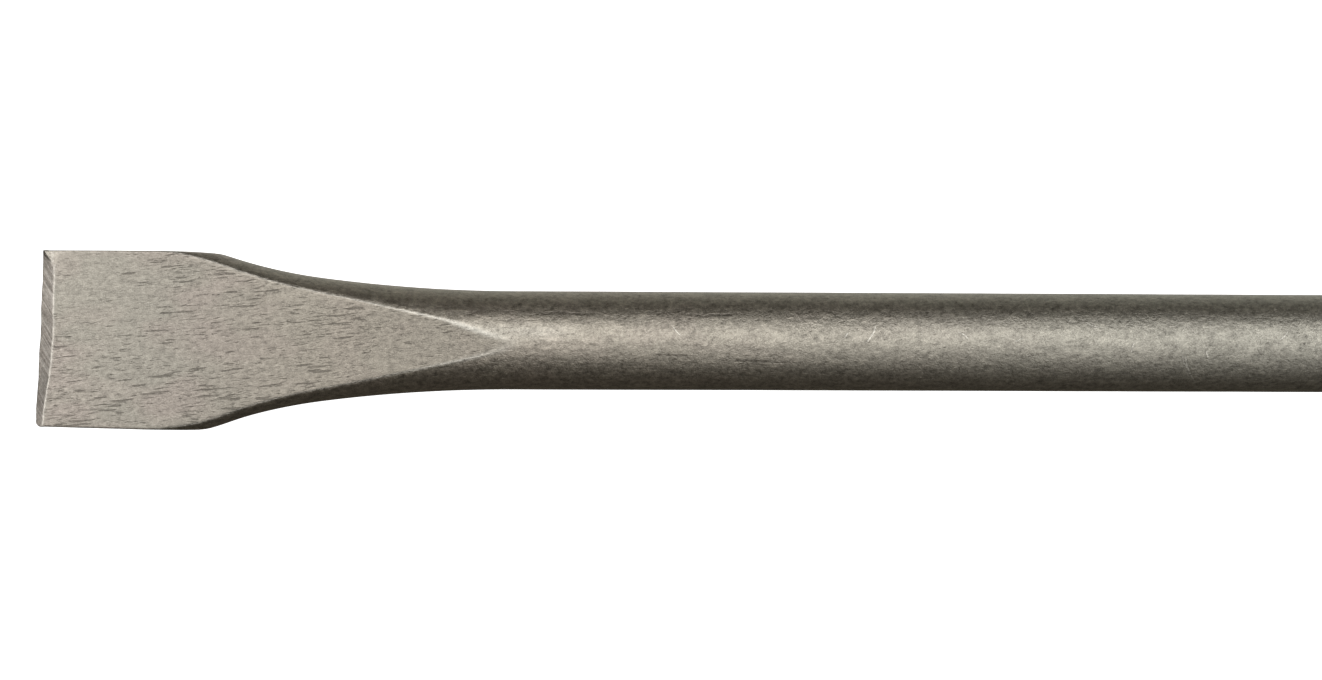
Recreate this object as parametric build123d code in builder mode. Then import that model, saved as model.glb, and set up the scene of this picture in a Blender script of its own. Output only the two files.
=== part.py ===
from build123d import *
from math import acos, cos, degrees, radians, sin, tan
import os

# Flat chisel for a rotary hammer, forged in one piece from round bar.
# The tool axis is X. The struck end of the shank is centred on the origin and
# the cutting edge is towards -X. The blade lies flat, its broad faces up and down.
# Lengths are in millimetres and angles in degrees.

# Round bar
overall_length = 250.0
body_diameter = 14.0

# Shank with a chamfered struck end
shank_diameter = 10.0
shank_length = 52.0
end_chamfer = 1.0

# Shoulder: a cone from shank to body, with a hollow at its foot and a rounded crest
shoulder_angle = 35.0
shoulder_hollow_radius = 5.0
shoulder_crest_radius = 2.5
largest_hollow_share = 0.6
largest_crest_share = 0.35

# Two drive slots on the sides of the shank, open at the struck end
drive_slot_width = 5.0
drive_slot_depth = 1.9
drive_slot_length = 34.0
drive_slot_flank_angle = 8.0
drive_slot_runout_radius = 11.0
drive_slot_corner_radius = 0.4

# Two closed lock grooves on the top and bottom of the shank, round like the lock's balls
lock_ball_radius = 3.5
lock_groove_depth = 1.6
lock_groove_start = 9.0
lock_groove_length = 22.0

# Spread of the forging: from the body its plan outline sweeps out in three tangent arcs
body_sweep_radius = 210.0
body_sweep_angle = 7.4
spread_radius = 71.0
spread_crest_radius = 41.5
spread_width = 27.25
spread_parallel = 14.0
section_spacing = 4.0

# Trim: the spread end is sheared to width, slightly tapered and turned from the axis
blade_width = 24.8
trim_taper = 0.5
trim_turn = 0.65
trim_corner_radius = 0.8

# Broad faces: pressed above and below, straight near the edge, then hollow, then round
edge_thickness = 2.6
face_taper = 4.6
face_steepest = 7.4
face_runout_angle = 2.9
face_hollow_radius = 260.0
face_round_radius = 230.0

# Cutting edge: two ground bevels that leave a small land, slightly out of square
bevel_included_angle = 76.0
edge_land = 0.2
edge_skew = 2.3

# Radii, and the middle of the skewed cutting edge, whose leading corner ends the tool
body_radius = body_diameter / 2
shank_radius = shank_diameter / 2
half_skew = blade_width / 2 * tan(radians(edge_skew))
edge_x = half_skew - overall_length

# Steepest angle of the plan outline, where its two larger arcs meet the crest
sweep_rise = body_sweep_radius * (1 - cos(radians(body_sweep_angle)))
crest_rise = spread_width / 2 - body_radius - sweep_rise
spread_angle = degrees(
    acos(
        (spread_radius * cos(radians(body_sweep_angle)) + spread_crest_radius - crest_rise)
        / (spread_radius + spread_crest_radius)
    )
)
spread_length = (body_sweep_radius - spread_radius) * sin(radians(body_sweep_angle)) + (
    spread_radius + spread_crest_radius
) * sin(radians(spread_angle))
spread_start_x = edge_x + spread_parallel + spread_length
blank_end_x = -overall_length - section_spacing

# Straight part of the broad face, which makes up the height that its two arcs leave
bevel_angle = bevel_included_angle / 2
bevel_length = (edge_thickness - edge_land) / 2 / tan(radians(bevel_angle))
hollow_rise = face_hollow_radius * (cos(radians(face_taper)) - cos(radians(face_steepest)))
round_rise = face_round_radius * (cos(radians(face_runout_angle)) - cos(radians(face_steepest)))
straight_rise = body_radius - edge_thickness / 2 - hollow_rise - round_rise

# Shoulder radii, kept within their shares of the cone that they round
shoulder_rise = body_radius - shank_radius
shoulder_run = shoulder_rise / tan(radians(shoulder_angle))
shoulder_room = shoulder_rise / sin(radians(shoulder_angle)) / tan(radians(shoulder_angle / 2))
hollow_fillet = min(shoulder_hollow_radius, largest_hollow_share * shoulder_room)
crest_fillet = min(shoulder_crest_radius, largest_crest_share * shoulder_room)


# Drive slot cutter, on the +Y side of the shank
with BuildPart() as drive_slot_cutter:
    # Section across the shank, wider at the surface than at the floor
    with BuildSketch(Plane.YZ):
        with BuildLine():
            slot_floor_y = shank_radius - drive_slot_depth
            slot_top_y = shank_radius + drive_slot_depth
            flank_spread = drive_slot_depth * tan(radians(drive_slot_flank_angle))
            floor_half_width = drive_slot_width / 2 - flank_spread
            top_half_width = drive_slot_width / 2 + flank_spread
            Polyline(
                (slot_floor_y, -floor_half_width),
                (slot_top_y, -top_half_width),
                (slot_top_y, top_half_width),
                (slot_floor_y, floor_half_width),
                close=True,
            )
        make_face()
        fillet(vertices().group_by(Axis.X)[0], drive_slot_corner_radius)
    extrude(amount=drive_slot_length, both=True)

    # Run-out of the round cutter at the slot's inner end
    with BuildSketch(Plane.XY):
        with BuildLine():
            runout_centre_y = slot_floor_y + drive_slot_runout_radius
            runout_width = (drive_slot_runout_radius**2 - (runout_centre_y - shank_radius) ** 2) ** 0.5
            runout_centre = (runout_width - drive_slot_length, runout_centre_y)
            runout = CenterArc(runout_centre, drive_slot_runout_radius, 180, 90)
            Polyline(
                runout @ 1,
                (drive_slot_length, slot_floor_y),
                (drive_slot_length, runout_centre_y),
                runout @ 0,
            )
        make_face()
    extrude(amount=shank_diameter, both=True, mode=Mode.INTERSECT)

# Lock groove cutter, on the +Z side of the shank
with BuildPart() as lock_groove_cutter:
    ball_z = shank_radius - lock_groove_depth + lock_ball_radius
    ball_reach = (lock_ball_radius**2 - (lock_ball_radius - lock_groove_depth) ** 2) ** 0.5
    first_ball_x = -lock_groove_start - ball_reach
    last_ball_x = -lock_groove_start - lock_groove_length + ball_reach
    with BuildSketch(Plane.YZ.offset(last_ball_x)):
        with Locations((0, ball_z)):
            Circle(lock_ball_radius)
    extrude(amount=first_ball_x - last_ball_x)
    with Locations((first_ball_x, 0, ball_z), (last_ball_x, 0, ball_z)):
        Sphere(lock_ball_radius)

# Plan outline of the spread, from the body to beyond the cutting edge
with BuildLine() as spread_outline:
    lead_in = Line((spread_start_x + section_spacing, body_radius), (spread_start_x, body_radius))
    body_sweep = JernArc(lead_in @ 1, (-1, 0), body_sweep_radius, -body_sweep_angle)
    spread = JernArc(body_sweep @ 1, body_sweep % 1, spread_radius, body_sweep_angle - spread_angle)
    crest = JernArc(spread @ 1, spread % 1, spread_crest_radius, spread_angle)
    Line(crest @ 1, (blank_end_x, spread_width / 2))


with BuildPart() as chisel:
    # Turned shank, shoulder and round body
    with BuildSketch(Plane.XZ):
        with BuildLine():
            shank_to_body = FilletPolyline(
                (-end_chamfer, shank_radius),
                (-shank_length, shank_radius),
                (-shank_length - shoulder_run, body_radius),
                lead_in @ 0,
                radius=[hollow_fillet, crest_fillet],
            )
            Polyline(
                shank_to_body @ 1,
                ((lead_in @ 0).X, 0),
                (0, 0),
                (0, shank_radius - end_chamfer),
                shank_to_body @ 0,
            )
        make_face()
    revolve(axis=Axis.X)

    # Spread blank: oval sections as tall as the body and as wide as the plan outline
    outline_wire = spread_outline.wire()
    section_count = round(outline_wire.length / section_spacing)
    for step in range(section_count + 1):
        station = outline_wire @ (step / section_count)
        with BuildSketch(Plane((station.X, 0, 0), x_dir=(0, 1, 0), z_dir=(-1, 0, 0))):
            Ellipse(station.Y, body_radius)
    loft()

    # Broad faces, pressed from the round body down to the bevels' heels
    with BuildSketch(Plane.XZ):
        with BuildLine():
            straight_run = straight_rise / tan(radians(face_taper))
            heel_x = edge_x + bevel_length
            heel_to_blank_end = (heel_x - blank_end_x) * tan(radians(face_taper))
            straight = Line(
                (blank_end_x, edge_thickness / 2 - heel_to_blank_end),
                (heel_x + straight_run, edge_thickness / 2 + straight_rise),
            )
            hollow = JernArc(straight @ 1, straight % 1, face_hollow_radius, face_steepest - face_taper)
            rounding = JernArc(hollow @ 1, hollow % 1, face_round_radius, face_runout_angle - face_steepest)
            Polyline(
                rounding @ 1,
                ((rounding @ 1).X, body_diameter),
                (blank_end_x, body_diameter),
                straight @ 0,
            )
        make_face()
        mirror(about=Plane.XZ)
    extrude(amount=spread_width, both=True, mode=Mode.SUBTRACT)

    # Trimmed plan of the blade: the skewed edge, the two sides and the leading corner
    with BuildSketch():
        with BuildLine():
            upper_corner = Vector(edge_x + half_skew, blade_width / 2)
            lower_corner = Vector(edge_x - half_skew, -blade_width / 2)
            upper_side = PolarLine(upper_corner, 2 * overall_length, trim_taper - trim_turn)
            lower_side = PolarLine(lower_corner, 2 * overall_length, -trim_taper - trim_turn)
            Polyline(upper_side @ 1, lower_side @ 1)
            Polyline(upper_corner, lower_corner)
        make_face()
        fillet(vertices().sort_by(Axis.X)[0], trim_corner_radius)
    extrude(amount=body_diameter, both=True, mode=Mode.INTERSECT)

    # Ground bevels above and below, square to the skewed edge
    edge_normal = Vector(cos(radians(edge_skew)), -sin(radians(edge_skew)), 0)
    with BuildSketch(Plane((edge_x, 0, 0), x_dir=edge_normal, z_dir=edge_normal.cross(Vector(0, 0, 1)))):
        with BuildLine():
            bevel_start = Vector(-edge_land, edge_land / 2 - edge_land * tan(radians(bevel_angle)))
            bevel = PolarLine(bevel_start, body_radius, bevel_angle)
            Polyline(bevel @ 1, (bevel_start.X, (bevel @ 1).Y), bevel_start)
        make_face()
        mirror(about=Plane.XZ)
    extrude(amount=spread_width, both=True, mode=Mode.SUBTRACT)

    # Shank slots and grooves, each opposite its twin
    add(drive_slot_cutter.part, mode=Mode.SUBTRACT)
    mirror(drive_slot_cutter.part, about=Plane.XZ, mode=Mode.SUBTRACT)
    add(lock_groove_cutter.part, mode=Mode.SUBTRACT)
    mirror(lock_groove_cutter.part, about=Plane.XY, mode=Mode.SUBTRACT)

os.makedirs("parts", exist_ok=True)
chisel.part.label = "chisel"
export_step(chisel.part, "parts/chisel.step")
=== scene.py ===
import math

import bpy
import numpy as np
from mathutils import Matrix, Vector


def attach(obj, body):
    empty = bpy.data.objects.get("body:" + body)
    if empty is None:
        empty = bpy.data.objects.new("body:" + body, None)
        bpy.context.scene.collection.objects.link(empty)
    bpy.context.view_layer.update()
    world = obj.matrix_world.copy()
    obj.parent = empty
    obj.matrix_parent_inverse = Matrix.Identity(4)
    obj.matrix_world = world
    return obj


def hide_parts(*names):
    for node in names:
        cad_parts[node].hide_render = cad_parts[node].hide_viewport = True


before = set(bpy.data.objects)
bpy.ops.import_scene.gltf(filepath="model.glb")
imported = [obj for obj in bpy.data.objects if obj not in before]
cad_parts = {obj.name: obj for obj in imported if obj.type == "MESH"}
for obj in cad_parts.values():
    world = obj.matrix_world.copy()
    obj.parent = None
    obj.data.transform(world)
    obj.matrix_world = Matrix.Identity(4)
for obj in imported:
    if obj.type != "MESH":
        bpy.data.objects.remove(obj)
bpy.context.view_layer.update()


# Chisel
# One bar of tool steel. Its end is heated and pressed out flat, sheared to width, blasted,
# and ground to a cutting edge from above and below. The other end is turned to 10 mm and
# milled for the hammer's drive keys and locking balls. The lengths here are millimetres.

# Bar: the struck end of the shank is at x = 0, and the cutting edge is towards -x
tool_length = 250.0
bar_radius = 7.0
shank_radius = 5.0
shank_length = 52.0
end_chamfer = 1.0
struck_edge = 0.1
shoulder_angle = math.radians(35)
shoulder_hollow = 5.0
shoulder_crest = 2.5

# Places that lie safely past the ground bevels, the forged sections, the pressed faces' point
# and the body, and before the slots and grooves
grinding_end_x = -240.0
forging_end_x = -170.0
faces_end_x = -150.0
body_end_x = -60.0
slots_start_x = -40.0

# Blade: width of the forged spread, then of the sheared sides, which lean a little
spread_half = 13.625
spread_flat = 14.0
spread_crest = 41.5
spread_hollow = 71.0
body_sweep = 210.0
body_sweep_angle = math.radians(7.4)
blade_half = 12.4
upper_side_slope = math.tan(math.radians(0.1))
lower_side_slope = math.tan(math.radians(1.15))
corner_radius = 0.8
edge_slope = math.tan(math.radians(2.3))
edge_middle = blade_half * edge_slope - tool_length

# Broad faces: half the thickness at the bevels, then a straight, a hollow and a round
heel_start = 1.536
heel_half = 1.3
face_taper = math.radians(4.6)
face_steepest = math.radians(7.4)
face_runout = math.radians(2.9)
face_hollow = 260.0
face_round = 230.0

# Faint flat that the dies left on the bar beside the upper face's point, turned towards +y
flat_turn = math.radians(12.4)
flat_depth = 0.26
flat_edge = 0.03

# How far the creases are rounded: where the faces leave the bar on the +y and -y sides,
# along the sheared sides, at the bevel's heel and round the blunt land
upper_crease, lower_crease = 0.32, 0.24
upper_side_edge, lower_side_edge = 0.15, 0.25
heel_edge, land_edge = 0.07, 0.06

# Grinding: distance from the cutting edge to the bevel's heel, and half the blunt land that is
# left on the edge, from the -y corner to the +y corner, and how far the bevels bulge
heel_at_y = [-12.4, -10.6, -8.0, -5.2, -3.0, -0.25, 3.2, 6.0, 9.0, 10.6, 11.3, 11.9, 12.4]
heel_reach = [0.98, 1.14, 1.38, 1.64, 1.88, 1.94, 1.86, 1.78, 1.74, 1.68, 1.1, 0.55, 0.16]
land_at_y = [-12.4, -10.8, -9.0, -6.0, 0.0, 3.0, 7.0, 11.4, 12.4]
land_half = [0.6, 0.53, 0.35, 0.13, 0.12, 0.17, 0.25, 0.27, 0.34]
bevel_belly = 0.002

# Drive slots on the shank's sides: level of the floor, radius and centre of the round cutter
# that ran out of it, half the floor's width, lean of the flanks and half the mouth's width
slot_level = 3.1
slot_cutter = 11.0
slot_cutter_x = -27.82
slot_half = 2.233
slot_lean = 0.1405
slot_lean_cosine = 0.99
slot_corner = 0.4
slot_mouth_half = 2.409
slot_mouth_level = 4.38
slot_edge = 0.1

# Lock grooves above and below: radius and level of the balls, and their first and last places
ball_radius = 3.5
ball_level = 6.9
first_ball_x, last_ball_x = -11.939, -28.061
groove_edge = 0.12


def smooth(low, high, value):
    """0 below low, 1 above high, and a smooth rise between them."""
    share = np.clip((value - low) / (high - low), 0, 1)
    return share * share * (3 - 2 * share)


def spread_at(s):
    """Half the forged plan width, s behind the middle of the cutting edge."""
    sweep_rise = body_sweep * (1 - math.cos(body_sweep_angle))
    crest_rise = spread_half - bar_radius - sweep_rise
    turn = math.acos(
        (spread_hollow * math.cos(body_sweep_angle) + spread_crest - crest_rise)
        / (spread_hollow + spread_crest)
    )
    crest_end = spread_flat + spread_crest * math.sin(turn)
    hollow_centre = crest_end + spread_hollow * math.sin(turn)
    hollow_end = hollow_centre - spread_hollow * math.sin(body_sweep_angle)
    sweep_end = hollow_end + body_sweep * math.sin(body_sweep_angle)
    crest_end_half = spread_half - spread_crest * (1 - math.cos(turn))
    hollow_level = crest_end_half + spread_hollow * math.cos(turn)
    along_crest = np.clip(s - spread_flat, 0, spread_crest)
    along_hollow = np.clip(s - hollow_centre, -spread_hollow, 0)
    along_sweep = np.clip(s - sweep_end, -body_sweep, 0)
    crest = spread_half - spread_crest + np.sqrt(spread_crest**2 - along_crest**2)
    hollow = hollow_level - np.sqrt(spread_hollow**2 - along_hollow**2)
    sweep = bar_radius + body_sweep - np.sqrt(body_sweep**2 - along_sweep**2)
    return np.where(s < crest_end, crest, np.where(s < hollow_end, hollow, sweep))


def face_at(s):
    """Half the thickness between the pressed faces, s behind the middle of the cutting edge."""
    hollow_rise = face_hollow * (math.cos(face_taper) - math.cos(face_steepest))
    round_rise = face_round * (math.cos(face_runout) - math.cos(face_steepest))
    straight_rise = bar_radius - heel_half - hollow_rise - round_rise
    straight_run = straight_rise / math.tan(face_taper)
    hollow_run = face_hollow * (math.sin(face_steepest) - math.sin(face_taper))
    round_run = face_round * (math.sin(face_steepest) - math.sin(face_runout))
    run = s - heel_start
    straight = heel_half + run * math.tan(face_taper)
    hollow_sine = math.sin(face_taper) + np.clip(run - straight_run, 0, hollow_run) / face_hollow
    hollow = heel_half + straight_rise + face_hollow * (math.cos(face_taper) - np.sqrt(1 - hollow_sine**2))
    past_hollow = run - straight_run - hollow_run
    round_sine = math.sin(face_steepest) - np.clip(past_hollow, 0, round_run) / face_round
    rounding = bar_radius - round_rise + face_round * (np.sqrt(1 - round_sine**2) - math.cos(face_steepest))
    past = np.maximum(past_hollow - round_run, 0) * math.tan(face_runout)
    curved = np.where(run < straight_run + hollow_run, hollow, rounding + past)
    return np.where(run < straight_run, straight, curved)


def bar_at(x):
    """Radius of the turned bar: chamfered shank, hollow, cone and crest of the shoulder, body."""
    behind = -x
    foot = shoulder_hollow * math.tan(shoulder_angle / 2)
    brow = shoulder_crest * math.tan(shoulder_angle / 2)
    run = (bar_radius - shank_radius) / math.tan(shoulder_angle)
    hollow_start = shank_length - foot
    hollow_end = hollow_start + shoulder_hollow * math.sin(shoulder_angle)
    crest_end = shank_length + run + brow
    crest_start = crest_end - shoulder_crest * math.sin(shoulder_angle)
    hollow = shank_radius + shoulder_hollow - np.sqrt(
        shoulder_hollow**2 - np.clip(behind - hollow_start, 0, shoulder_hollow) ** 2
    )
    cone = shank_radius + (behind - shank_length) * math.tan(shoulder_angle)
    crest = bar_radius - shoulder_crest + np.sqrt(
        shoulder_crest**2 - np.clip(crest_end - behind, 0, shoulder_crest) ** 2
    )
    radius = np.where(behind < hollow_end, hollow, np.where(behind < crest_start, cone, crest))
    return np.minimum(radius, shank_radius - end_chamfer + np.maximum(behind, 0))


def edge_at(y):
    """The cutting edge's place along the tool: nearly straight, a little out of square."""
    waver = 0.035 * np.sin(0.9 * y + 0.4) + 0.02 * np.sin(2.3 * y + 1.9) + 0.008 * np.sin(7.1 * y)
    bow = 0.07 * np.exp(-((y - 1) / 6) ** 2) + 0.005 * y
    return edge_middle + y * edge_slope + 0.065 + bow + waver


def heel_at(y):
    """Distance from the cutting edge to the bevel's heel."""
    steps = np.linspace(-0.25, 0.25, 11)
    reach = np.mean([np.interp(y + step, heel_at_y, heel_reach) for step in steps], axis=0)
    return reach + 0.02 * np.sin(3.1 * y) + 0.012 * np.sin(8.3 * y + 1)


def land_at(y):
    """Half the height of the blunt land."""
    return np.interp(y, land_at_y, land_half)


def shoulder_swell(s, y):
    """How much further the forging spread on its -y side, just behind the sheared part."""
    return np.where(y < 0, 0.2 * np.exp(-((s - 23.3) / 3.6) ** 2), 0)


def upper_trim(s):
    """Half the sheared width on the +y side, where the shears curved in towards the bar."""
    return blade_half - s * upper_side_slope - 0.0035 * np.clip(s - 16, 0, 12) ** 2


def sheared_drop(behind_edge, y):
    """How far the shears pulled the faces down at the +y corner of the edge."""
    return 0.5 * smooth(10.2, 12.5, y) * (1 - smooth(0.2, 3.2, behind_edge))


def meet(a, b, radius):
    """The common part of two solids, given as distances, with its convex edge rounded."""
    rounded = np.hypot(np.maximum(a + radius, 0), np.maximum(b + radius, 0))
    return np.minimum(np.maximum(a, b), -radius) + rounded


def slot_floor(x):
    """The drive slot's floor, and its run-out where the round cutter leaves the steel."""
    runout = np.minimum(x - slot_cutter_x, 0)
    return slot_level + slot_cutter - np.sqrt(np.maximum(slot_cutter**2 - runout**2, 0))


def worked_surfaces(x, y, z):
    """Rough distances outside (+) each surface that forging, shearing and grinding leave."""
    s = x - edge_middle
    up = np.abs(z)
    width = np.maximum(spread_at(s), bar_radius) + shoulder_swell(s, y)
    oval = np.hypot(y / width, z / bar_radius)
    slope = np.hypot(y / width**2, z / bar_radius**2) / np.maximum(oval, 1e-6)
    forging = (oval - 1) / np.maximum(slope, 1e-6)
    blank = np.where(x < forging_end_x, forging, np.hypot(y, z) - bar_at(x))
    flat_share = 0.5 * smooth(-172, -182, x) + 0.5 * smooth(-204, -196, x) - 0.5
    flat = y * math.sin(flat_turn) + z * math.cos(flat_turn) - bar_radius + flat_depth * flat_share
    blank = meet(blank, np.where(x < forging_end_x, flat, -1), flat_edge)

    behind_edge = x - edge_at(y)
    pressed = up - face_at(s) + sheared_drop(behind_edge, y)
    upper_side = y - upper_trim(s)
    lower_side = -y - blade_half - s * lower_side_slope

    reach = heel_at(y)
    heel_up = face_at(edge_at(y) + reach - edge_middle) - sheared_drop(reach, y)
    rise = (heel_up - land_at(y)) / reach
    belly = bevel_belly * np.sin(math.pi * np.clip(behind_edge / reach, 0, 1))
    bevel = (up - land_at(y) - behind_edge * rise - belly) / np.hypot(1, rise)
    return blank, pressed, upper_side, lower_side, bevel, -behind_edge


def distance(x, y, z):
    """Rough distance outside (+) or inside (-) the finished chisel's surface."""
    blank, pressed, upper_side, lower_side, bevel, land = worked_surfaces(x, y, z)
    crease = np.where(y > 0, upper_crease, lower_crease) * (1 - 0.97 * smooth(46, 64, x - edge_middle))
    solid = meet(blank, pressed, crease)
    solid = meet(solid, upper_side, upper_side_edge)
    solid = meet(solid, lower_side, lower_side_edge)
    solid = meet(solid, bevel, heel_edge)
    solid = meet(solid, land, land_edge)
    solid = np.maximum(solid, meet(land, lower_side, corner_radius))

    out = np.abs(y)
    up = np.abs(z)
    floor = slot_floor(x) - out
    flank = (up - slot_half - (out - slot_level) * slot_lean) * slot_lean_cosine
    slot = meet(floor, flank, slot_corner)
    ball_x = np.clip(x, last_ball_x, first_ball_x)
    groove = np.sqrt((x - ball_x) ** 2 + y**2 + (up - ball_level) ** 2) - ball_radius
    cut = meet(meet(solid, -slot, slot_edge), -groove, groove_edge)
    cut = meet(cut, x, struck_edge)
    return np.where(x > slots_start_x, cut, solid)


# Rings of the mesh: shares of the bevel's reach, distances behind its heel, and places along x
# on the body, shoulder and shank. Each ring's points are shared out from the top to the side in
# three runs, which end at the creases, or on round steel at these angles from the top.
bevel_steps = [
    0.005, 0.016, 0.036, 0.065, 0.1, 0.145, 0.2, 0.265, 0.34, 0.42,
    0.5, 0.58, 0.66, 0.74, 0.81, 0.87, 0.92, 0.955, 0.98,
]
heel_steps = [0, 0.025, 0.06, 0.1, 0.15, 0.21, 0.28, 0.36, 0.46, 0.58, 0.73, 0.92, 1.16, 1.46, 1.8]
blade_steps = np.arange(2.2, 73.5, 0.45)
body_stops = np.arange(-173.9, -59.5, 1.2)
shank_stops = np.concatenate([
    np.arange(-59.3, -50, 0.33), np.arange(-49.6, -36, 0.8), np.arange(-35.2, -26, 0.35),
    np.arange(-25.6, -14, 0.7), np.arange(-13.6, -8, 0.35), np.arange(-7.7, -1.4, 0.6),
    [-1.25, -1.1, -1.02, -0.96, -0.88, -0.7, -0.5, -0.3, -0.16, -0.08, -0.03, -0.008, -0.001],
])
run_counts = (20, 8, 10)
run_ends = (50, 70)


def ring_x(ring, y):
    """Where a ring crosses the given y: it follows the grinding near the edge, and is square
    to the tool further back."""
    kind, value = ring
    if kind == "bevel":
        return edge_at(y) + value * heel_at(y)
    if kind == "blade":
        ground_share = 1 - smooth(0, 20, value)
        heel_x = edge_middle + heel_start
        return heel_x + value + ground_share * (edge_at(y) + heel_at(y) - edge_middle - heel_start)
    return np.full_like(y, value)


rings = [("bevel", step) for step in bevel_steps] + [("blade", step) for step in heel_steps]
rings += [("blade", step) for step in blade_steps]
rings += [("square", stop) for stop in np.concatenate([body_stops, shank_stops])]


def shared_out(count, crowd_start, crowd_end, crowding):
    """count + 1 shares from 0 to 1, crowded towards either end."""
    even = np.linspace(0, 1, count + 1)
    if crowd_start and crowd_end:
        crowded = even * even * (3 - 2 * even)
    else:
        crowded = even**2 if crowd_start else 1 - (1 - even) ** 2
    return even + crowding * (crowded - even)


def blade_quarter(ring, side, x):
    """Start points inside the blade or body and targets near its surface, from the top to one side."""
    s = x - edge_middle
    here = np.array([s])
    width = float(spread_at(here)[0] + shoulder_swell(s, side))
    trim = float(upper_trim(s)) if side > 0 else blade_half + s * lower_side_slope
    half_height = float(face_at(here)[0])
    if ring[0] == "bevel":
        ends = np.array([side * blade_half])
        behind = x - float(edge_at(ends)[0])
        land = float(land_at(ends)[0])
        half_height = land + ring[1] * max(half_height - land - float(sheared_drop(behind, ends)[0]), 0.02)
        if side < 0 and behind < corner_radius:
            trim -= corner_radius - math.sqrt(corner_radius**2 - (corner_radius - behind) ** 2)

    # The crease between face and bar, and the upper edge of the sheared side
    face_end = width * math.sqrt(max(1 - (half_height / bar_radius) ** 2, 0))
    round_share = float(smooth(62, 90, here)[0])
    even_y = bar_radius * math.sin(math.radians(run_ends[0]))
    even_z = bar_radius * math.cos(math.radians(run_ends[1]))
    crease_y = min(face_end, trim, width)
    crease_y = math.sqrt(crease_y**2 + 0.8**2) if crease_y < 4 else crease_y
    crease_y += (even_y - crease_y) * round_share
    level = min(half_height, bar_radius * math.sqrt(max(1 - (crease_y / width) ** 2, 0)))
    trim_z = bar_radius * math.sqrt(max(1 - (trim / width) ** 2, 0)) if trim < width else 0
    side_z = min(trim_z, level * 0.93)
    fade = float(smooth(20, 40, here)[0])
    lowest_z = level * (0.93 - 0.55 * fade) if trim_z <= 0 else min(level * 0.5 * fade, level * 0.93)
    side_z = max(side_z, lowest_z)
    side_z += (even_z - side_z) * round_share
    reach = min(trim, width)
    side_y = min(reach, width * math.sqrt(max(1 - (side_z / bar_radius) ** 2, 0)))
    core = max(crease_y - 1.1 * level, 0.0) * float(1 - smooth(55, 64, here)[0])

    # Three runs: the pressed face, the round of the forging, and the sheared side
    first, second, third = run_counts
    share = shared_out(first, False, True, 0.92 * (1 - round_share))
    start = [(core * u, 0.0) for u in share]
    aim = []
    for u in share:
        round_level = math.sqrt(max(1 - (crease_y * u / width) ** 2, 0)) * bar_radius
        aim.append((crease_y * u, level + (round_level - level) * round_share))
    from_angle = math.atan2(level, crease_y - core)
    mid_angle = math.atan2(side_z, side_y - core)
    far = math.hypot(side_y - core, side_z)
    for u in shared_out(second, True, True, 0.8 * (1 - round_share))[1:]:
        angle = from_angle + (mid_angle - from_angle) * u
        start.append((core, 0.0))
        aim.append((core + far * math.cos(angle), far * math.sin(angle)))
    for u in shared_out(third, True, False, 0.8 * (1 - round_share))[1:]:
        angle = mid_angle * (1 - u)
        start.append((core, 0.0))
        aim.append((core + (reach - core) * math.cos(angle), (reach - core) * math.sin(angle)))
    return start, aim


def shank_quarter(x):
    """The same for the shank, crowded where a lock groove or a drive slot opens."""
    here = np.array([x])
    radius = float(bar_at(here)[0])
    if x > -struck_edge:
        radius -= struck_edge - math.sqrt(struck_edge**2 - (x + struck_edge) ** 2)
    slotted = float(smooth(-48, -37, here)[0])
    grooved = float(smooth(-34.5, -31.2, here)[0]) * float(1 - smooth(-8.8, -6.5, here)[0])

    # Half the width of the groove's mouth and of the slot's, from where round and cutter meet
    from_ball = x - min(max(x, last_ball_x), first_ball_x)
    cut_radius = math.sqrt(max(ball_radius**2 - from_ball**2, 0))
    groove_half = 0.0
    if cut_radius > ball_level - shank_radius:
        meet_z = (shank_radius**2 - cut_radius**2 + ball_level**2) / (2 * ball_level)
        groove_half = math.sqrt(max(shank_radius**2 - meet_z**2, 0))
    groove_half = math.hypot(groove_half, 1.0) if groove_half < 2.2 else groove_half
    even_y = radius * math.sin(math.radians(run_ends[0]))
    crease_y = even_y + (min(groove_half, 0.95 * radius) - even_y) * grooved
    floor = float(slot_floor(here)[0])
    mouth_half = slot_mouth_half
    if floor > slot_mouth_level:
        mouth_half = math.sqrt(max(shank_radius**2 - floor**2, 0))
        mouth_half = math.hypot(mouth_half, 1.0) if mouth_half < 2 else mouth_half
    even_z = radius * math.cos(math.radians(run_ends[1]))
    slot_z = even_z + (min(mouth_half, 0.6 * radius) - even_z) * slotted
    above_slot = slot_z * slotted

    first, second, third = run_counts
    start, aim = [], []
    for u in np.linspace(0, 1, first + 1):
        u = u + 0.5 * grooved * (1 - (1 - u) ** 2 - u)
        start.append((crease_y * u, above_slot))
        aim.append((crease_y * u, math.sqrt(max(radius**2 - (crease_y * u) ** 2, 0.01))))
    from_angle = math.asin(min(crease_y / radius, 0.999))
    mid_angle = math.acos(min(slot_z / radius, 0.999))
    even_shares = np.linspace(0, 1, second + 1)[1:]
    crowded_shares = np.array([0.16, 0.34, 0.52, 0.7, 0.86, 0.945, 0.978, 1.0])
    for u in even_shares + (crowded_shares - even_shares) * slotted:
        angle = from_angle + (mid_angle - from_angle) * u
        start.append((0.0, above_slot))
        aim.append((radius * math.sin(angle), radius * math.cos(angle)))
    slot_shares = np.array([0.9972, 0.9925, 0.975, 0.952, 0.93, 0.9, 0.85, 0.76, 0.4, 0.0])
    last_run = 90 - run_ends[1]
    even_shares = np.sin(np.radians(np.linspace(last_run, 0, third + 1)[1:]))
    even_shares = even_shares / math.sin(math.radians(last_run))
    for u in even_shares + (slot_shares - even_shares) * slotted:
        start.append((0.0, slot_z * u))
        aim.append((math.sqrt(max(radius**2 - (slot_z * u) ** 2, 0.01)), slot_z * u))
    return start, aim


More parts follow.
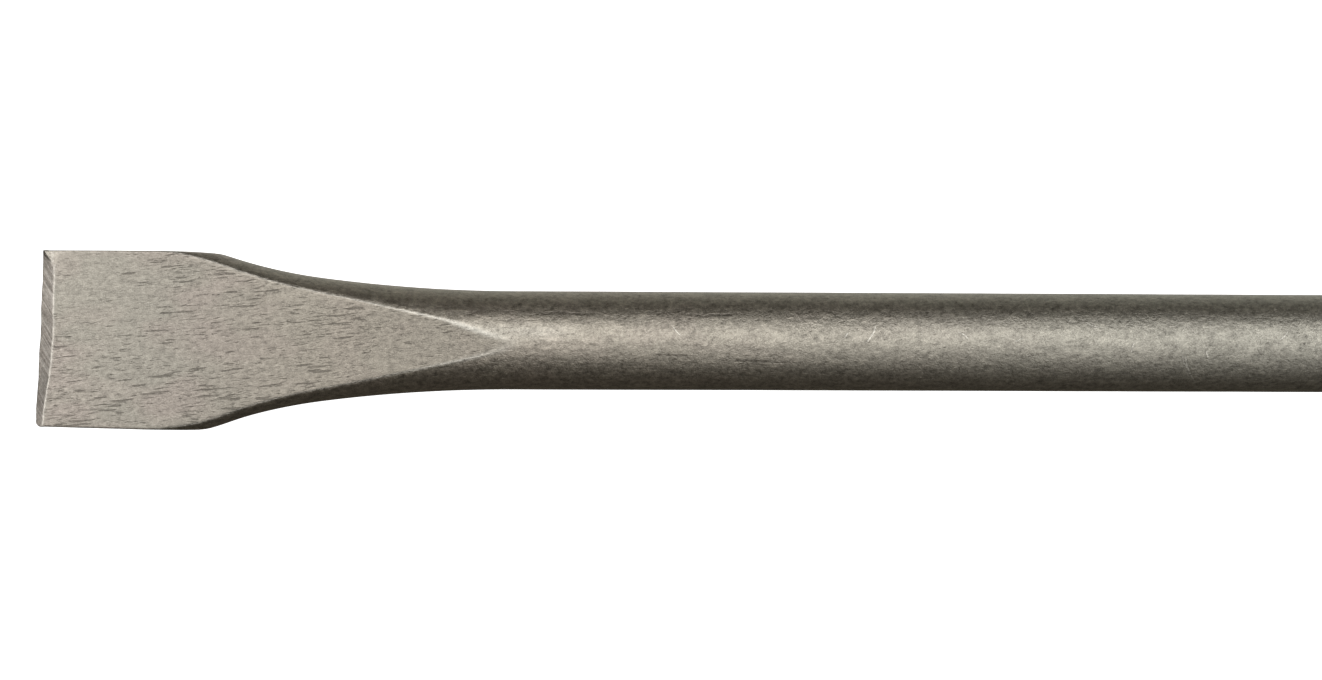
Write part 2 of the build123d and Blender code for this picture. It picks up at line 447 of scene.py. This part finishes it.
def quarter(ring, side):
    """One quarter of a ring, in the blade and body or in the shoulder and shank."""
    x = float(ring_x(ring, np.array([side * blade_half]))[0])
    start, aim = blade_quarter(ring, side, x) if x < body_end_x else shank_quarter(x)
    return np.array(start), np.array(aim)


def whole_ring(ring):
    """The start points and targets of all four quarters, once round the steel."""
    loops = []
    for right, left in zip(quarter(ring, 1), quarter(ring, -1)):
        left = left * (-1, 1)
        below = (1, -1)
        loops.append(np.concatenate([
            right, (right * below)[::-1][1:], (left * below)[1:], left[::-1][1:-1],
        ]))
    return loops


starts, aims = [], []
for ring in rings:
    start, aim = whole_ring(ring)
    starts.append(np.column_stack([ring_x(ring, start[:, 0]), start]))
    aims.append(np.column_stack([ring_x(ring, aim[:, 0]), aim]))
starts, aims = np.array(starts), np.array(aims)

# Each point moves from inside the steel towards its target, or past it, until it meets the
# surface. The way that is left is halved at each step.
furthest, halvings = 4.0, 42
near = np.zeros(starts.shape[:2])
far = np.full(starts.shape[:2], furthest)
for _ in range(halvings):
    middle = (near + far) / 2
    spot = starts + (aims - starts) * middle[..., None]
    inside = distance(spot[..., 0], spot[..., 1], spot[..., 2]) < 0
    near, far = np.where(inside, middle, near), np.where(inside, far, middle)
points = starts + (aims - starts) * near[..., None]

ring_count, around = near.shape
corner = np.arange(ring_count * around).reshape(ring_count, around)
ahead, beside = corner[1:], np.roll(corner, -1, axis=1)
quads = np.stack([corner[:-1], ahead, beside[1:], beside[:-1]], axis=-1).reshape(-1, 4)
faces = quads.tolist() + [corner[-1][::-1].tolist()]

# The blunt land closes the first ring, from each point to its twin underneath
half_turn = around // 2
for side_start in (0, half_turn):
    for step in range(half_turn // 2):
        above, below = side_start + step, side_start + half_turn - step
        cap = [above, above + 1, below - 1, below % around]
        faces.append(cap if step + 1 < half_turn // 2 else [above, above + 1, below % around])

chisel_mesh = bpy.data.meshes.new("forged_chisel")
chisel_mesh.from_pydata((points.reshape(-1, 3) / 1000).tolist(), [], faces)
chisel_mesh.update()
chisel = bpy.data.objects.new("forged_chisel", chisel_mesh)
bpy.context.collection.objects.link(chisel)

# How each point was worked, for the steel's finish: ground, pressed, rubbed bright or given a painted
# highlight, turned or forged
x, y, z = points.reshape(-1, 3).T
blank, pressed, upper_side, lower_side, bevel, land = worked_surfaces(x, y, z)
sheared = np.maximum(upper_side, lower_side)
ground = smooth(-0.05, 0.03, bevel - np.maximum(pressed, blank))
ground = np.maximum(ground, smooth(-0.06, 0.02, land)) * (x < grinding_end_x)
pressed_share = smooth(-0.1, 0.1, pressed - np.maximum(np.maximum(blank, sheared), bevel))
pressed_share *= x < faces_end_x
rub_width = 0.09
heel_line = np.exp(-((bevel - pressed + 0.02) / rub_width) ** 2) * smooth(-0.3, -0.12, pressed)
heel_line *= (1 - smooth(10.3, 10.8, y)) * (x < grinding_end_x)
# Where the faces leave the bar: steel rubbed bright, and partly a painted highlight along the crease
crest_wear_and_highlight = np.exp(-((blank - pressed) / rub_width) ** 2) * smooth(-0.25, -0.1, pressed)
crest_wear_and_highlight *= smooth(-236, -228, x) * (1 - smooth(-190, -180, x))
# Painted highlight: a lighter band on the bar beside the upper face's point, turned towards +y where the
# main light falls
painted_highlight_patch = 0.35 * np.exp(-((np.arctan2(y, z) - flat_turn) / 0.14) ** 2) * (1 - pressed_share)
painted_highlight_patch *= smooth(-202, -190, x) * (1 - smooth(-180, -172, x))
unground = smooth(-0.1, 0.15, (y - 11.4) + 1.05 * (x + 248.5)) * (x < grinding_end_x)
turned = smooth(-55.8, -54.6, x)
for name, values in (
    ("ground", ground * (1 - 0.7 * unground)),
    ("pressed", pressed_share),
    ("wear_and_highlight", np.clip(0.5 * heel_line + crest_wear_and_highlight + painted_highlight_patch, 0, 1)),
    ("turned", turned),
    ("forged", (1 - ground) * (1 - turned) * (1 - np.clip(heel_line, 0, 1))),
):
    layer = chisel_mesh.attributes.new(name, "FLOAT", "POINT")
    layer.data.foreach_set("value", values.astype(np.float32))


# The steel, one finish for each way it was worked, read from those layers
class Bench:
    """Lays out the nodes of one material, with places on the chisel in millimetres."""

    def __init__(self, name):
        self.material = bpy.data.materials.new(name)
        self.material.use_nodes = True
        self.tree = self.material.node_tree
        self.shader = self.tree.nodes["Principled BSDF"]
        place = self.add("ShaderNodeTexCoord").outputs["Object"]
        self.place = self.vector("SCALE", place, scale=1000)

    def add(self, kind, sockets=(), **settings):
        node = self.tree.nodes.new(kind)
        for key, value in settings.items():
            setattr(node, key, value)
        for key, value in dict(sockets).items():
            if isinstance(value, bpy.types.NodeSocket):
                self.tree.links.new(value, node.inputs[key])
            else:
                node.inputs[key].default_value = value
        return node

    def sum(self, operation, a, b=0.0, clamp=False):
        """One step of arithmetic."""
        return self.add("ShaderNodeMath", {0: a, 1: b}, operation=operation, use_clamp=clamp).outputs[0]

    def vector(self, operation, a, b=(0, 0, 0), scale=1.0):
        return self.add("ShaderNodeVectorMath", {0: a, 1: b, 3: scale}, operation=operation).outputs[0]

    def layer(self, name):
        return self.add("ShaderNodeAttribute", attribute_name=name).outputs["Fac"]

    def stretched(self, size, turn=0.0, offset=(0, 0, 0)):
        """The place, turned about z by some degrees and measured in features of this size (mm)."""
        turned = self.add(
            "ShaderNodeMapping",
            {"Vector": self.place, "Rotation": (0, 0, -math.radians(turn)), "Location": offset},
        )
        return self.vector("DIVIDE", turned.outputs[0], size)

    def grain(self, where, detail=2.0, rough=0.5, twist=0.0):
        return self.add(
            "ShaderNodeTexNoise",
            {"Vector": where, "Scale": 1.0, "Detail": detail, "Roughness": rough, "Distortion": twist},
        ).outputs["Fac"]

    def between(self, value, low, high, to_low=0.0, to_high=1.0, kind="SMOOTHSTEP"):
        """to_low below low, to_high above high, and a rise between them."""
        return self.add(
            "ShaderNodeMapRange",
            {"Value": value, "From Min": low, "From Max": high, "To Min": to_low, "To Max": to_high},
            interpolation_type=kind,
        ).outputs["Result"]

    def blend(self, share, a, b):
        """Colour a, or this share of the way to colour b."""
        node = self.add("ShaderNodeMix", data_type="RGBA")
        for socket, value in ((node.inputs[0], share), (node.inputs[6], a), (node.inputs[7], b)):
            if isinstance(value, bpy.types.NodeSocket):
                self.tree.links.new(value, socket)
            else:
                socket.default_value = value if socket is node.inputs[0] else (*value, 1)
        return node.outputs[2]

    def dim(self, colour, share):
        """The colour multiplied by a plain number."""
        return self.vector("SCALE", colour, scale=share)


# Blasted skin, near the edge in three tints, further back on the faces, and on the bar
warm_grey = (0.35, 0.32, 0.278)
olive_grey = (0.342, 0.32, 0.276)
pink_grey = (0.361, 0.322, 0.284)
tan_grey = (0.353, 0.321, 0.266)
cool_grey = (0.343, 0.335, 0.292)

# Scale in the pits, steel rubbed bright, also used for painted highlights, and light and dark marks of the
# belt and the lathe
scale_brown = (0.1, 0.09, 0.077)
rubbed_steel_and_highlight = (0.64, 0.62, 0.56)
belt_light, belt_dark = (0.355, 0.329, 0.296), (0.25, 0.226, 0.2)
lathe_light, lathe_dark = (0.37, 0.36, 0.33), (0.27, 0.255, 0.225)

bench = Bench("forged_steel")
pressed_layer, ground_layer = bench.layer("pressed"), bench.layer("ground")
turned_layer, wear_and_highlight_layer = bench.layer("turned"), bench.layer("wear_and_highlight")
finished_layer = bench.sum("MAXIMUM", ground_layer, turned_layer)
bar_layer = bench.sum("SUBTRACT", bench.sum("SUBTRACT", 1.0, pressed_layer), finished_layer, clamp=True)
apart = bench.add("ShaderNodeSeparateXYZ", {0: bench.place}).outputs

# Blasted skin: clouds, blotches and a sandy grain, and how its tint shifts along the tool
broad = bench.grain(bench.stretched((9, 5, 5)), 3, 0.55)
cloud = bench.grain(bench.stretched((6, 4, 4), 0, (11, 3, 8)), 0)
patch = bench.grain(bench.stretched((1.3, 0.8, 0.8), 4, (3, 7, 1)), 3, 0.6)
sand = bench.grain(bench.stretched((0.75, 0.6, 0.6), 4), 4, 0.75)
fine = bench.grain(bench.stretched((0.2, 0.18, 0.18)), 2, 0.6)
colour = bench.blend(bench.between(cloud, 0.34, 0.5), pink_grey, warm_grey)
mossy = bench.sum("MULTIPLY", bench.between(cloud, 0.5, 0.66), bench.between(apart[0], -232, -216, 1, 0.3))
colour = bench.blend(mossy, colour, olive_grey)
colour = bench.blend(bench.between(apart[0], -236, -204, 0, 0.6), colour, tan_grey)
colour = bench.blend(bench.between(apart[0], -190, -70, 0, 0.75), colour, cool_grey)

# Pressed-in streaks, drawn out along the tool: fewer near the edge on its +y side, and more
# in some places than in others
quiet = bench.sum("MULTIPLY", bench.between(apart[0], -228, -242), bench.between(apart[1], -4, 3))
crowded = bench.between(apart[0], -208, -196, 0.022, 0)
crowded = bench.sum("SUBTRACT", crowded, bench.sum("MULTIPLY", quiet, 0.055))
crowded = bench.sum("ADD", crowded, bench.between(broad, 0.38, 0.62, -0.022, 0.022))
long_mark = bench.grain(bench.stretched((4.0, 0.36, 1.2), 6, (0, 3, 5)), 2, 0.55, 0.15)
short_mark = bench.grain(bench.stretched((1.3, 0.22, 0.5), 7, (9, 1, 2)), 2, 0.62, 0.15)
long_pit = bench.between(bench.sum("ADD", long_mark, crowded), 0.63, 0.71)
short_pit = bench.between(bench.sum("ADD", short_mark, crowded), 0.58, 0.75)
streaks = bench.sum("MAXIMUM", long_pit, bench.sum("MULTIPLY", short_pit, 0.75))
streaks = bench.sum("MULTIPLY", streaks, pressed_layer)


def mark_line(x, y, turn, length, width, bend):
    """A fine curved line on the upper side: its middle, its turn from +x in degrees, its length
    and width, and how far its ends bend aside, all in millimetres."""
    moved = bench.vector("SUBTRACT", bench.place, (x, y, 0))
    straightened = {"Vector": moved, "Rotation": (0, 0, -math.radians(turn))}
    local = bench.add("ShaderNodeMapping", straightened).outputs[0]
    along, aside, height = bench.add("ShaderNodeSeparateXYZ", {0: local}).outputs[:3]
    curve = bench.sum("MULTIPLY", bench.sum("MULTIPLY", along, along), 4 * bend / length**2)
    off = bench.sum("ABSOLUTE", bench.sum("SUBTRACT", aside, curve))
    thick = bench.between(off, 0.35 * width, 0.75 * width, 1, 0)
    reach = bench.between(bench.sum("ABSOLUTE", along), 0.3 * length, 0.52 * length, 1, 0)
    above = bench.between(height, 0, 0.5)
    return bench.sum("MULTIPLY", bench.sum("MULTIPLY", thick, reach), above)


# The deepest of the streaks on the upper face
gouges = 0.0
for line in (
    (-235.4, -6.5, 6, 2.4, 0.24, 0), (-233.5, -7.7, 4, 4.0, 0.27, 0.1),
    (-237.7, -8.65, 6, 3.9, 0.24, 0.1), (-225.8, -7.9, 5, 3.7, 0.27, -0.1),
    (-232.2, -5.2, 4, 4.0, 0.25, 0), (-219.7, 1.5, 5, 3.0, 0.24, 0.1),
    (-236.8, 9.2, 6, 2.5, 0.24, 0),
):
    gouges = bench.sum("MAXIMUM", gouges, mark_line(*line))
gouges = bench.sum("MULTIPLY", gouges, bench.between(patch, 0.36, 0.5, 0.3, 1))
streaks = bench.sum("MAXIMUM", streaks, gouges)

# Small pits on the bar
speck = bench.grain(bench.stretched((0.55, 0.36, 0.36), 0, (5, 5, 5)), 2, 0.6)
specks = bench.between(bench.sum("ADD", speck, bench.between(broad, 0.4, 0.7, -0.03, 0.03)), 0.68, 0.78)
specks = bench.sum("MULTIPLY", specks, bar_layer)
pits = bench.sum("MAXIMUM", streaks, specks)
colour = bench.blend(bench.sum("MULTIPLY", pits, 0.45), colour, scale_brown)

# Bright scratches from handling, dark drawn-out seams in the bar, and a burr at the +y corner
scratches = 0.0
for line in (
    (-132.8, 1.15, 57, 3.2, 0.16, 0.35), (-136.4, 1.2, 60, 1.0, 0.18, 0),
    (-119.8, 1.3, -33, 1.9, 0.13, -0.2), (-87.6, -3.6, -62, 5.0, 0.2, 0.5),
    (-88.3, -2.6, -60, 3.0, 0.14, 0.3), (-85.2, -1.25, -70, 1.1, 0.2, 0),
    (-95.9, -0.4, 76, 1.6, 0.13, 0), (-74.2, 1.3, 45, 1.8, 0.14, 0.1),
    (-101.5, 2.6, -20, 2.4, 0.12, 0.2), (-160.3, 1.6, -48, 1.8, 0.12, 0.1),
    (-112.0, 0.6, 25, 1.5, 0.1, 0.1),
):
    scratches = bench.sum("MAXIMUM", scratches, mark_line(*line))
scratches = bench.sum("MULTIPLY", scratches, bench.between(sand, 0.36, 0.5, 0.35, 1))
seam = 0.0
for line in (
    (-159.8, -1.8, -1, 8.5, 0.3, 0), (-147.6, -2.6, -2, 15.5, 0.34, -0.1),
    (-176.5, 4.0, -1, 9.0, 0.34, 0), (-155.3, 3.9, 0, 9.5, 0.3, 0.1),
):
    seam = bench.sum("MAXIMUM", seam, mark_line(*line))
seam = bench.sum("MULTIPLY", seam, bench.between(patch, 0.42, 0.56))
burr = mark_line(-248.5, 11.45, -46, 2.4, 0.22, 0)
seam = bench.sum("MAXIMUM", seam, burr)
colour = bench.blend(bench.sum("MULTIPLY", seam, 0.6), colour, scale_brown)
colour = bench.blend(bench.sum("MULTIPLY", scratches, 0.65), colour, rubbed_steel_and_highlight)

# Ground bevels: slanting belt marks
belt = bench.grain(bench.stretched((9, 0.5, 9), -57), 2, 0.55)
belt_fine = bench.grain(bench.stretched((5, 0.16, 5), -57, (2, 2, 2)), 2, 0.6)
belt_marks = bench.sum("ADD", bench.sum("MULTIPLY", belt, 0.7), bench.sum("MULTIPLY", belt_fine, 0.3))
belt_colour = bench.blend(bench.between(belt_marks, 0.42, 0.56), belt_light, belt_dark)
# Painted shade and light: the bevels are dimmed towards -y and brightened towards +y, the side the light
# comes from
belt_colour = bench.dim(belt_colour, bench.between(apart[1], -8, 6, 0.94, 1.06))
colour = bench.blend(ground_layer, colour, belt_colour)

# Turned shank: fine rings round the bar
lathe = bench.grain(bench.stretched((0.11, 30, 30)), 2, 0.6)
lathe_colour = bench.blend(bench.between(lathe, 0.35, 0.65), lathe_light, lathe_dark)
colour = bench.blend(bench.sum("MULTIPLY", turned_layer, 0.75), colour, lathe_colour)

# Brighter steel where edges are rubbed, which along the faces' creases is partly a painted highlight, and a
# painted highlight on the bar beside the upper face's point
ridge = mark_line(-247.55, 11.5, 88, 2.3, 0.36, 0)
wear_and_highlight = bench.sum("MAXIMUM", wear_and_highlight_layer, bench.sum("MULTIPLY", ridge, 0.3))
colour = bench.blend(bench.sum("MULTIPLY", wear_and_highlight, 0.55), colour, rubbed_steel_and_highlight)


def contrast(grain, depth):
    """A grain as shares lighter or darker, up to this much either way."""
    return bench.between(grain, 0.3, 0.7, -depth, depth, "LINEAR")


# Lighter and darker sand, blotches and smudges, stronger on the bar than on the faces
shade = bench.sum("ADD", contrast(sand, 0.25), contrast(fine, 0.14))
blotchy = bench.sum("ADD", 1.0, bench.sum("MULTIPLY", bar_layer, 0.35))
shade = bench.sum("ADD", shade, bench.sum("MULTIPLY", contrast(patch, 0.08), blotchy))
smudge = contrast(bench.grain(bench.stretched((2.4, 1.5, 1.5), 0, (6, 2, 9)), 1), 0.07)
shade = bench.sum("ADD", shade, bench.sum("MULTIPLY", smudge, bar_layer))
inner = bench.sum("MULTIPLY", pressed_layer, bench.between(apart[0], -220, -208, 0, 0.12))
stronger = bench.sum("ADD", inner, bench.sum("MULTIPLY", bar_layer, 0.45))
shade = bench.sum("MULTIPLY", shade, bench.sum("ADD", 1.0, stronger))
shade = bench.sum("ADD", 1.0, shade)

# Painted shade: the pressed faces are darkened a little from the edge to their point on the bar, as they
# tilt away from the light
painted_face_shade = bench.between(apart[0], -246, -224, 0.03, 0.105)
painted_face_shade = bench.sum("ADD", painted_face_shade, bench.between(apart[0], -216, -197, 0, 0.095))
painted_face_shade = bench.sum("MULTIPLY", pressed_layer, painted_face_shade)
shade = bench.sum("MULTIPLY", shade, bench.sum("SUBTRACT", 1.0, painted_face_shade))
bench.tree.links.new(bench.dim(colour, shade), bench.shader.inputs["Base Color"])
bench.shader.inputs["Metallic"].default_value = 1

# Duller in the pits, and glossier where the steel is scratched, rubbed or brightened as a painted highlight
dullness = bench.between(sand, 0.3, 0.7, 0.36, 0.44, "LINEAR")
dullness = bench.sum("ADD", dullness, bench.sum("MULTIPLY", pits, 0.2))
polish = bench.sum("MULTIPLY", bench.sum("MAXIMUM", wear_and_highlight, scratches), 0.06)
dullness = bench.sum("SUBTRACT", dullness, polish)
bench.tree.links.new(dullness, bench.shader.inputs["Roughness"])


def swing(grain, depth):
    """A grain as heights about zero, this many millimetres deep."""
    return bench.sum("MULTIPLY", bench.sum("SUBTRACT", grain, 0.5), depth)


# Relief in millimetres: grit and blotches, then pits, scratches, seams and tool marks
grit = bench.sum("ADD", swing(sand, 0.056), swing(fine, 0.016))
coarser = bench.sum("ADD", inner, bench.sum("MULTIPLY", bar_layer, 0.95))
grit = bench.sum("MULTIPLY", grit, bench.sum("ADD", 0.95, coarser))
relief = bench.sum("ADD", grit, bench.sum("MULTIPLY", swing(patch, 0.02), blotchy))
relief = bench.sum("SUBTRACT", relief, bench.sum("MULTIPLY", swing(short_mark, 0.012), pressed_layer))
unfinished = bench.sum("SUBTRACT", 1.0, bench.sum("MULTIPLY", finished_layer, 0.75))
relief = bench.sum("MULTIPLY", relief, unfinished)
relief = bench.sum("SUBTRACT", relief, bench.sum("MULTIPLY", pits, 0.03))
relief = bench.sum("SUBTRACT", relief, bench.sum("MULTIPLY", bench.sum("MAXIMUM", scratches, seam), 0.02))
relief = bench.sum("ADD", relief, bench.sum("MULTIPLY", swing(belt_marks, 0.06), ground_layer))
relief = bench.sum("ADD", relief, bench.sum("MULTIPLY", swing(lathe, 0.006), turned_layer))
bump = bench.add("ShaderNodeBump", {"Strength": 1.0, "Distance": 0.001, "Height": relief})
bench.tree.links.new(bump.outputs[0], bench.shader.inputs["Normal"])
steel = bench.material


# Shallow hollows of the blasted skin: depth and size in metres, and the seed of their waves
hollow_inputs = {"Hollow depth": 0.00006, "Hollow size": 0.006, "Seed": 4.0}


def forged_skin():
    """A node tree that presses shallow, wavy hollows into the forged skin and gives it its steel."""
    tree = bpy.data.node_groups.new("forged_skin", "GeometryNodeTree")
    tree.interface.new_socket("Geometry", in_out="INPUT", socket_type="NodeSocketGeometry")
    for name in hollow_inputs:
        tree.interface.new_socket(name, in_out="INPUT", socket_type="NodeSocketFloat")
    tree.interface.new_socket("Steel", in_out="INPUT", socket_type="NodeSocketMaterial")
    tree.interface.new_socket("Geometry", in_out="OUTPUT", socket_type="NodeSocketGeometry")

    def add(kind, links, **settings):
        node = tree.nodes.new(kind)
        for key, value in settings.items():
            setattr(node, key, value)
        for key, value in links.items():
            if isinstance(value, bpy.types.NodeSocket):
                tree.links.new(value, node.inputs[key])
            else:
                node.inputs[key].default_value = value
        return node

    given = tree.nodes.new("NodeGroupInput").outputs
    place = add("GeometryNodeInputPosition", {}).outputs[0]
    features = add("ShaderNodeMath", {0: 1.0, 1: given["Hollow size"]}, operation="DIVIDE").outputs[0]
    drawn_out = add("ShaderNodeVectorMath", {0: place, 1: (0.5, 1, 1)}, operation="MULTIPLY").outputs[0]
    waves = add(
        "ShaderNodeTexNoise",
        {"Vector": drawn_out, "W": given["Seed"], "Scale": features, "Detail": 2.0},
        noise_dimensions="4D",
    ).outputs["Fac"]
    forged = add("GeometryNodeInputNamedAttribute", {"Name": "forged"}, data_type="FLOAT")
    share = forged.outputs["Attribute"]
    depth = add("ShaderNodeMath", {0: given["Hollow depth"], 1: share}, operation="MULTIPLY").outputs[0]
    inwards = add("ShaderNodeMath", {0: depth, 1: -1.0}, operation="MULTIPLY").outputs[0]
    length = add("ShaderNodeMath", {0: inwards, 1: waves}, operation="MULTIPLY").outputs[0]
    normal = add("GeometryNodeInputNormal", {}).outputs[0]
    move = add("ShaderNodeVectorMath", {0: normal, "Scale": length}, operation="SCALE").outputs[0]
    pressed_in = add("GeometryNodeSetPosition", {"Geometry": given["Geometry"], "Offset": move}).outputs[0]
    real = add("GeometryNodeRealizeInstances", {"Geometry": pressed_in}).outputs[0]
    dressed = add("GeometryNodeSetMaterial", {"Geometry": real, "Material": given["Steel"]}).outputs[0]
    tree.links.new(dressed, tree.nodes.new("NodeGroupOutput").inputs[0])
    return tree


skin = chisel.modifiers.new("forged_skin", "NODES")
skin.node_group = forged_skin()
tree_sockets = skin.node_group.interface.items_tree
sockets = {item.name: item.identifier for item in tree_sockets if item.in_out == "INPUT"}
for name, value in hollow_inputs.items():
    skin[sockets[name]] = value
skin[sockets["Steel"]] = steel
finished = bpy.data.meshes.new_from_object(chisel.evaluated_get(bpy.context.evaluated_depsgraph_get()))
chisel.modifiers.clear()
chisel.data = finished
finished.name = "forged_chisel"
finished.shade_smooth()
finished.set_sharp_from_angle(angle=math.radians(40))
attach(chisel, "root")
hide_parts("chisel")


# Floor
# A sheet of white acrylic that the chisel lies on, lit evenly from below. It holds back no
# light from underneath, and the steel doesn't mirror it.
floor_mesh = bpy.data.meshes.new("light_table")
floor_reach, floor_level = 3.0, -0.00702
floor_mesh.from_pydata(
    [(-floor_reach, -floor_reach, floor_level), (floor_reach, -floor_reach, floor_level),
     (floor_reach, floor_reach, floor_level), (-floor_reach, floor_reach, floor_level)],
    [], [(0, 1, 2, 3)],
)
floor = bpy.data.objects.new("light_table", floor_mesh)
bpy.context.collection.objects.link(floor)
acrylic = bpy.data.materials.new("lit_acrylic")
acrylic.use_nodes = True
acrylic_shader = acrylic.node_tree.nodes["Principled BSDF"]
acrylic_shader.inputs["Base Color"].default_value = (0.8, 0.8, 0.8, 1)
acrylic_shader.inputs["Emission Color"].default_value = (1, 1, 1, 1)
acrylic_shader.inputs["Emission Strength"].default_value = 1.0
floor_mesh.materials.append(acrylic)
floor.visible_glossy = False
floor.visible_shadow = False


# Lights
# Softboxes: a long main one a little towards +y, weaker ones overhead and further over, a low
# one on the -y side beside the bar and shank, one beyond the cutting edge, and a faint one
# underneath on the +y side. The rest of the room is dim and warm.
lit_middle = Vector((-0.16, 0, 0))
world = bpy.data.worlds.new("room")
bpy.context.scene.world = world
world.use_nodes = True
world.node_tree.nodes["Background"].inputs["Color"].default_value = (1, 0.88, 0.7, 1)
world.node_tree.nodes["Background"].inputs["Strength"].default_value = 0.07


def softbox(
    name, sideways, angular_width, radiance,
    endways=0, skew=0, far=1.2, span=(-1.5, 1.5), colour=(1, 1, 1),
):
    """A soft light this far from the tool in metres, leaned by these angles from overhead towards
    +y and -x. It spans two places along the tool, and its +x end is skewed towards -y."""
    width, length = 2 * far * math.tan(math.radians(angular_width / 2)), span[1] - span[0]
    data = bpy.data.lights.new(name, "AREA")
    data.shape = "RECTANGLE"
    data.color = colour
    data.size, data.size_y = length, width
    data.energy = math.pi * length * width * radiance
    lamp = bpy.data.objects.new(name, data)
    side, end = math.radians(sideways), math.radians(endways)
    away = Vector((-math.sin(end), math.cos(end) * math.sin(side), math.cos(end) * math.cos(side)))
    along = Vector((math.cos(end), math.sin(end) * math.sin(side), math.sin(end) * math.cos(side)))
    along = Matrix.Rotation(-math.radians(skew), 3, away) @ along
    across = away.cross(along)
    turn = Matrix((along, across, away)).transposed().to_4x4()
    centre = lit_middle + away * far + along * (span[0] + span[1]) / 2
    lamp.matrix_world = Matrix.Translation(centre) @ turn
    bpy.context.collection.objects.link(lamp)
    lamp.visible_camera = False


softbox("main_softbox", 22.5, 21, 2.6)
softbox("overhead_softbox", -12, 43, 0.97, skew=14)
softbox("upper_softbox", 43, 18, 0.85)
softbox("low_softbox", -58, 50, 0.18, far=0.45, span=(0.06, 0.8))
softbox("end_softbox", 2, 54, 2.05, endways=58, span=(-0.3, 0.3))
softbox("under_softbox", 146, 64, 0.5, colour=(0.98, 1, 0.93))


# Camera
# Nearly square above the tool, leaned slightly towards +y and the cutting edge, at about arm's
# length. The picture is 1322 pixels wide, with 7.05 of them to a millimetre at the tool.
view_target = Vector((-0.16206, 0.00012, 0.0))
lean, tilt, roll = math.radians(2.3), math.radians(3.3), math.radians(0.235)
view_distance = 0.5
pixels_per_mm = 7.0503
picture_width = 1322
sensor_width = 36
backward = Vector((-math.sin(tilt), math.sin(lean), 0))
backward.z = math.sqrt(1 - backward.length_squared)
right = Vector((math.cos(roll), math.sin(roll), 0))
right = (right - backward * right.dot(backward)).normalized()
up = backward.cross(right)
camera_data = bpy.data.cameras.new("camera")
camera_data.lens = pixels_per_mm * view_distance * 1000 * sensor_width / picture_width
camera_data.clip_start, camera_data.clip_end = 0.01, 20
camera = bpy.data.objects.new("camera", camera_data)
bpy.context.collection.objects.link(camera)
turn = Matrix((right, up, backward)).transposed().to_4x4()
camera.matrix_world = Matrix.Translation(view_target + backward * view_distance) @ turn
bpy.context.scene.camera = camera
bpy.context.scene.view_settings.view_transform = "Standard"
